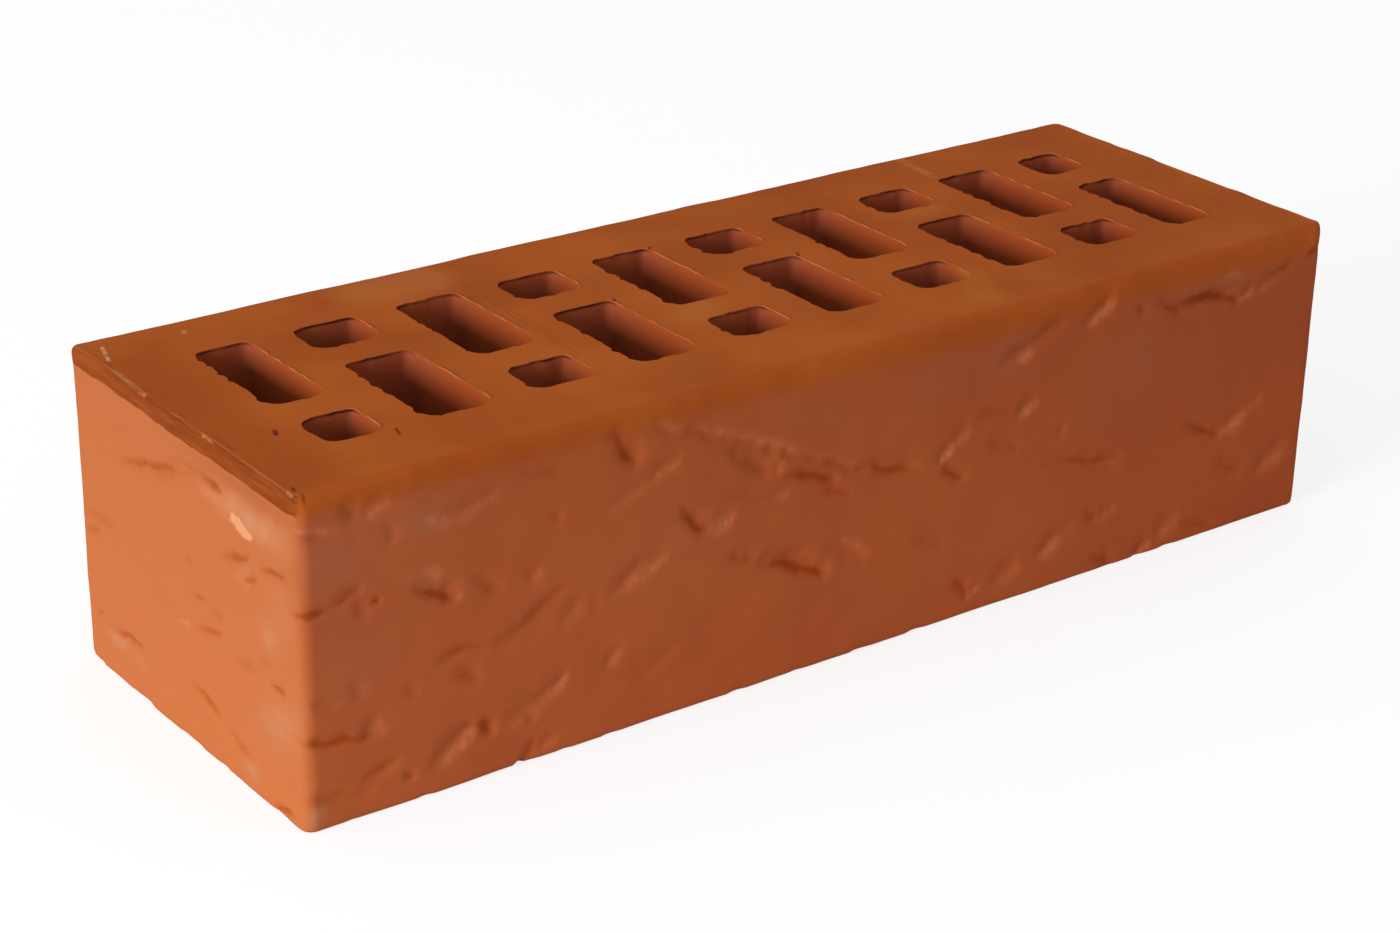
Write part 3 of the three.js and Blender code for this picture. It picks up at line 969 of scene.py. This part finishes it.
# The worn band of a header is bare clay under painted shade, which makes it darker than the bed,
# most of all on the lit left header and to the front. It carries lighter streaks, some 1.2 mm
# high and 14 mm long, where the wire dragged.
band = add(clay, "Math", {0: 1.0, 1: coat_edge}, operation="SUBTRACT")
painted_shade_left = add(clay, "MapRange", {
    "Value": xyz.outputs["X"], "From Min": -brick_length / 2, "From Max": brick_length / 2,
    "To Min": 1.0, "To Max": 0.4})
painted_shade_front = add(clay, "MapRange", {
    "Value": xyz.outputs["Y"], "From Max": brick_width / 2, "To Min": 1.0, "To Max": 0.84})
painted_shade_by_place = add(clay, "Math", {0: painted_shade_left, 1: painted_shade_front}, operation="MULTIPLY")
header_shade_share = add(clay, "Math", {0: header, 1: painted_shade_by_place}, operation="MULTIPLY")
header_band = add(clay, "Math", {0: band, 1: header_shade_share}, operation="MULTIPLY")
painted_band = add(clay, "Mix", {
    0: header_band, 6: deeper, 7: from_hex(band_painted_shade)}, data_type="RGBA", blend_type="MULTIPLY")
streak_place = add(clay, "VectorMath", {
    0: place, 1: Vector((1 / (1.2 * MM), 1 / (14 * MM), 1 / (1.2 * MM)))}, operation="MULTIPLY")
streaks = add(clay, "TexNoise", {"Vector": streak_place, "Scale": 1.0, "Detail": 2.0})
streak_share = add(clay, "MapRange", {
    "Value": streaks, "From Min": 0.42, "From Max": 0.66, "To Max": 0.2})
streaked = lay_over(painted_band, streak_colour, streak_share, header_band)

# The bottoms of the marks are darker, softly all over and crisply where crumbs break them up:
# partly the bare clay's deeper tone showing there and partly painted shade. Their torn walls are
# pale and crumbly, the pale partly a painted highlight where they face the lamp.
crumbs = add(clay, "TexNoise", {"Vector": place, "Scale": 1 / (2.4 * MM), "Detail": 3.0})
soft_crevice = add(clay, "Mix", {
    0: in_crevice, 6: streaked, 7: from_hex(soft_crevice_painted_shade)},
    data_type="RGBA", blend_type="MULTIPLY")
ragged_crevice = add(clay, "Math", {0: crumbs, 1: 0.5, 2: in_crevice}, operation="MULTIPLY_ADD")
crisp = add(clay, "MapRange", {
    "Value": ragged_crevice, "From Min": 0.55, "From Max": 1.15}, interpolation_type="SMOOTHSTEP")
crisp_crevice = add(clay, "Mix", {
    0: crisp, 6: soft_crevice, 7: from_hex(crisp_crevice_painted_shade)},
    data_type="RGBA", blend_type="MULTIPLY")
crumb_share = add(clay, "MapRange", {
    "Value": crumbs, "From Min": 0.35, "From Max": 0.6, "To Min": 0.25, "To Max": 0.85})
crumbly = lay_over(crisp_crevice, torn_and_lit_colour, is_torn_and_lit, crumb_share)

# Dust lies soft and thin on the coat, and not in the crevices. Where the coat has flaked, the
# border is crisp and broken.
settling = add(clay, "TexNoise", {"Vector": place, "Scale": 1 / (5 * MM), "Detail": 4.0})
dust_break = add(clay, "MapRange", {
    "Value": settling, "From Min": 0.36, "From Max": 0.62, "To Min": 0.5, "To Max": 0.9})
settled = add(clay, "Math", {0: is_pale, 1: coat_share}, operation="MULTIPLY")
shallow = add(clay, "Math", {0: 1.0, 1: in_crevice}, operation="SUBTRACT")
lying = add(clay, "Math", {0: settled, 1: shallow}, operation="MULTIPLY")
dusty = lay_over(crumbly, dust_colour, lying, dust_break)
flaking = add(clay, "TexNoise", {"Vector": place, "Scale": 1 / (1.8 * MM), "Detail": 4.0})
flake_height = add(clay, "Math", {0: flaking, 1: 1.2, 2: is_flaked}, operation="MULTIPLY_ADD")
flake_share = add(clay, "MapRange", {"Value": flake_height, "From Min": 1.08, "From Max": 1.34})
flaked_off = add(clay, "Mix", {0: flake_share, 6: dusty, 7: from_hex(flaked_colour)}, data_type="RGBA")

# The cores: redder clay, with painted room light, a greyer tint, in the far corners near the rim, and
# painted shadow under the far rims.
core_clay = add(clay, "Mix", {0: in_core, 6: flaked_off, 7: from_hex(core_colour)}, data_type="RGBA")
room_lit = lay_over(core_clay, room_light_colour, has_room_light, 0.6)
rim_shadow_share = add(clay, "Math", {0: in_crevice, 1: in_core}, operation="MULTIPLY")
rim_shadowed = lay_over(room_lit, rim_shadow_colour, rim_shadow_share, 0.9)


def stroke(start, end, half_width, softness):
    """The share of a stroke from start to end, in millimetres along, across and up from the left
    front corner of the upper bed: 1 within half its width of the line between them, and 0 past
    its softness from there."""
    origin = Vector((-brick_length / 2, -brick_width / 2, brick_height))
    first, last = (origin + Vector(point) * MM for point in (start, end))
    line = last - first
    from_first = add(clay, "VectorMath", {0: place, 1: first}, operation="SUBTRACT")
    along = add(clay, "VectorMath", {
        0: from_first, 1: line / line.length_squared}, operation="DOT_PRODUCT")
    part = add(clay, "Clamp", {0: along})
    nearest = add(clay, "VectorMath", {0: line, "Scale": part}, operation="SCALE")
    gap = add(clay, "VectorMath", {0: from_first, 1: nearest}, operation="DISTANCE")
    return add(clay, "MapRange", {
        "Value": gap, "From Min": half_width * MM, "From Max": (half_width + softness) * MM,
        "To Min": 1.0, "To Max": 0.0}, interpolation_type="SMOOTHSTEP")


# The upper bed: its left end is deeper in tone. Then come pits and nicks, which are painted
# shade, paler patches, two fine scratches of the wire and, broken up, the pale crumbs that the
# wire smeared.
bare = add(clay, "Math", {0: 1.0, 1: coated}, operation="SUBTRACT")
shaded_end = add(clay, "Math", {
    0: stroke((4, 10, 0), (4, 66, 0), 3, 11), 1: bare}, operation="MULTIPLY")
bed_colour = lay_over(rim_shadowed, bed_end_colour, shaded_end, 0.65)
for start, end, half_width, softness, strength, paint in (
    ((11.4, 26, 0), (12, 27.6, 0), 0.28, 0.35, 1, pit_painted_shade),
    ((29.4, 14.2, 0), (30, 16.6, 0), 0.12, 0.35, 0.9, pit_painted_shade),
    ((2.3, 3.8, 0), (2.6, 4.9, 0), 0.15, 0.30, 0.9, pit_painted_shade),
    ((2, -0.3, -0.5), (2.7, -0.1, -0.4), 0.50, 0.40, 1, pit_painted_shade),
    ((121, 66.5, 0), (121.6, 67.3, 0), 0.18, 0.30, 0.9, nick_painted_shade),
    ((143.8, 46.2, 0), (144.8, 48.2, 0), 0.15, 0.30, 0.9, nick_painted_shade),
    ((98, 46.5, 0), (98.6, 47.3, 0), 0.18, 0.30, 0.8, nick_painted_shade),
    ((61, 77, 0), (73, 77, 0), 2, 9, 0.45, "#BC6C36"),
    ((105, 31, 0), (111, 35, 0), 1, 6, 0.3, "#B76B30"),
    ((161, 8, 0), (166, 20, 0), 1, 5, 0.3, "#B76B2B"),
    ((181, 53, 0), (186, 54, 0), 1, 4.5, 0.3, "#B76B2B"),
    ((76.6, 27, 0), (77.2, 58, 0), 0.08, 0.25, 0.4, scratch_colour),
    ((78, 33, 0), (78.9, 84, 0), 0.08, 0.25, 0.3, scratch_colour),
):
    bed_colour = lay_over(bed_colour, paint, stroke(start, end, half_width, softness), strength)
stroke_break = add(clay, "MapRange", {"Value": crumbs, "From Min": 0.32, "From Max": 0.52})
for start, end, half_width, softness, strength, paint in (
    ((2.8, 73, 0), (4.7, 79.4, 0), 0.15, 0.40, 0.65, "#CCA078"),
    ((20.8, 77.6, 0), (21.2, 78.2, 0), 0.25, 0.60, 0.55, "#C08A5A"),
    ((0.8, 55, 0), (1.7, 69, 0), 0.10, 0.80, 0.35, "#C88C60"),
    ((0.5, 29.4, 0), (0.8, 32.8, 0), 0.10, 0.40, 0.45, "#D8A078"),
    ((0.5, 1, 0), (1.1, 3.8, 0), 0.12, 0.45, 0.35, "#D8A078"),
    ((199.8, 70, 0), (201.2, 84, 0), 0.20, 1.60, 0.35, "#BC8450"),
):
    broken = add(clay, "Math", {
        0: stroke(start, end, half_width, softness), 1: stroke_break}, operation="MULTIPLY")
    bed_colour = lay_over(bed_colour, paint, broken, strength)

# The burrs along the core rims and the headers' bed edges carry a painted highlight, a pale line where
# they catch the lamp.
finished = lay_over(bed_colour, burr_highlight_colour, on_burr_highlight, 0.7)

# Drag lines: shallow grooves some 2 mm apart and 20 mm long, which fall away along the faces.
across_lines = add(clay, "VectorMath", {
    0: place, 1: Vector((0.36, 0.3, 1)) / (2 * MM)}, operation="DOT_PRODUCT")
along_lines = add(clay, "VectorMath", {
    0: place, 1: Vector((1, 1, -0.3)) / (20 * MM)}, operation="DOT_PRODUCT")
line_place = add(clay, "CombineXYZ", {0: across_lines, 1: along_lines})
lines = add(clay, "TexNoise", {"Vector": line_place, "Scale": 1.0, "Detail": 3.0})
line_bump = add(clay, "Bump", {"Height": lines, "Strength": coated, "Distance": 0.12 * MM})

# The torn walls of the marks are crumbly, with crumbs of some 3 mm.
torn_grain = add(clay, "TexNoise", {"Vector": place, "Scale": 1 / (2.8 * MM), "Detail": 3.0})
torn_bump = add(clay, "Bump", {
    "Height": torn_grain, "Strength": is_torn_and_lit, "Distance": 0.9 * MM, "Normal": line_bump})

# The wire left its own lines straight over the beds, some 0.5 mm apart, in bands of some 9 mm.
wire_across = add(clay, "VectorMath", {
    0: place, 1: Vector((1 / (0.5 * MM), 1 / (120 * MM), 0))}, operation="MULTIPLY")
wire_lines = add(clay, "TexNoise", {"Vector": wire_across, "Scale": 1.0, "Detail": 1.0})
wire_bands = add(clay, "VectorMath", {
    0: place, 1: Vector((1 / (9 * MM), 1 / (70 * MM), 0))}, operation="MULTIPLY")
wire_patches = add(clay, "TexNoise", {"Vector": wire_bands, "Scale": 1.0, "Detail": 0.0})
wire_strength = add(clay, "MapRange", {
    "Value": wire_patches, "From Min": 0.5, "From Max": 0.75, "To Min": 0.05})
uncoated = add(clay, "Math", {0: wire_strength, 1: coated}, operation="SUBTRACT")
wire_share = add(clay, "Clamp", {0: uncoated})
wire_bump = add(clay, "Bump", {
    "Height": wire_lines, "Strength": wire_share, "Distance": 0.08 * MM, "Normal": torn_bump})

# The grain of the clay, some 0.8 mm, drawn a little coarser than it is so that it shows.
grain = add(clay, "TexNoise", {"Vector": place, "Scale": 1 / (1.2 * MM), "Detail": 3.0})
grain_bump = add(clay, "Bump", {
    "Height": grain, "Strength": 0.35, "Distance": 0.08 * MM, "Normal": wire_bump})

surface = add(clay, "BsdfPrincipled", {
    "Base Color": finished, "Roughness": 0.9, "Specular IOR Level": 0.1, "Normal": grain_bump})
add(clay, "OutputMaterial", {"Surface": surface})

mesh.materials.append(fired_clay)
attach(brick_body, "root")
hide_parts("brick")


# ---- The studio ------------------------------------------------------------------------------
# A pale floor, a broad lamp low on the left and the soft light of a white room.

floor_size = 6.0
half_floor = floor_size / 2
floor_mesh = bpy.data.meshes.new("studio_floor")
floor_corners = [(x * half_floor, y * half_floor, 0) for x, y in ((-1, -1), (1, -1), (1, 1), (-1, 1))]
floor_mesh.from_pydata(floor_corners, [], [(0, 1, 2, 3)])
floor = bpy.data.objects.new("studio_floor", floor_mesh)
bpy.context.scene.collection.objects.link(floor)
floor_paint = bpy.data.materials.new("white_floor_paint")
floor_paint.use_nodes = True
paint = floor_paint.node_tree
paint.nodes.clear()
seen = add(paint, "LightPath")
matt = add(paint, "BsdfDiffuse", {"Color": from_hex("#E6E6E6")})
thin = add(paint, "BsdfDiffuse", {"Color": from_hex("#949494")})
glow = add(paint, "Emission", {"Color": (1, 1, 1, 1), "Strength": 0.74})
lifted = add(paint, "AddShader", {0: thin, 1: glow})
chosen = add(paint, "MixShader", {0: seen.outputs["Is Camera Ray"], 1: matt, 2: lifted})
add(paint, "OutputMaterial", {"Surface": chosen})
floor_mesh.materials.append(floor_paint)

room = bpy.data.worlds.new("white_room")
bpy.context.scene.world = room
room.use_nodes = True
air = room.node_tree
air.nodes.clear()
ray = add(air, "LightPath")
strength = add(air, "MapRange", {"Value": ray.outputs["Is Camera Ray"], "To Min": 0.66})
sky = add(air, "Background", {"Color": (1, 1, 1, 1), "Strength": strength})
add(air, "OutputWorld", {"Surface": sky})

brick_middle = Vector((0, 0, brick_height / 2))
key_place = Vector((-1.44, -0.24, 0.40))
key = bpy.data.lights.new("key_lamp", "AREA")
key.shape = "SQUARE"
key.size = 0.55
key.energy = 20
key_lamp = bpy.data.objects.new("key_lamp", key)
key_lamp.location = key_place
key_lamp.rotation_euler = (brick_middle - key_place).to_track_quat("-Z", "Y").to_euler()
bpy.context.scene.collection.objects.link(key_lamp)


# ---- The camera ------------------------------------------------------------------------------
# It looks down on the left front corner through a long lens.

image_width = 1400
focal_length_in_pixels = 3061.9
yaw, pitch, roll = (radians(angle) for angle in (37.19, 24.12, 1.30))
middle_seen_at = Vector((6.6, -7.5, 622.5)) * MM  # to the right, down and ahead of the camera

forward = Vector((sin(yaw) * cos(pitch), cos(yaw) * cos(pitch), -sin(pitch)))
level_right = Vector((cos(yaw), -sin(yaw), 0))
level_up = level_right.cross(forward)
right = level_right * cos(roll) + level_up * sin(roll)
up = level_up * cos(roll) - level_right * sin(roll)
to_middle = right * middle_seen_at.x - up * middle_seen_at.y + forward * middle_seen_at.z
view = bpy.data.cameras.new("camera")
view.sensor_width = 36
view.lens = focal_length_in_pixels / image_width * view.sensor_width
view.clip_start = 0.01
camera = bpy.data.objects.new("camera", view)
axes = Matrix((right, up, -forward)).transposed().to_4x4()
axes.translation = brick_middle - to_middle
camera.matrix_world = axes
bpy.context.scene.collection.objects.link(camera)
bpy.context.scene.camera = camera
bpy.context.scene.view_settings.view_transform = "Standard"
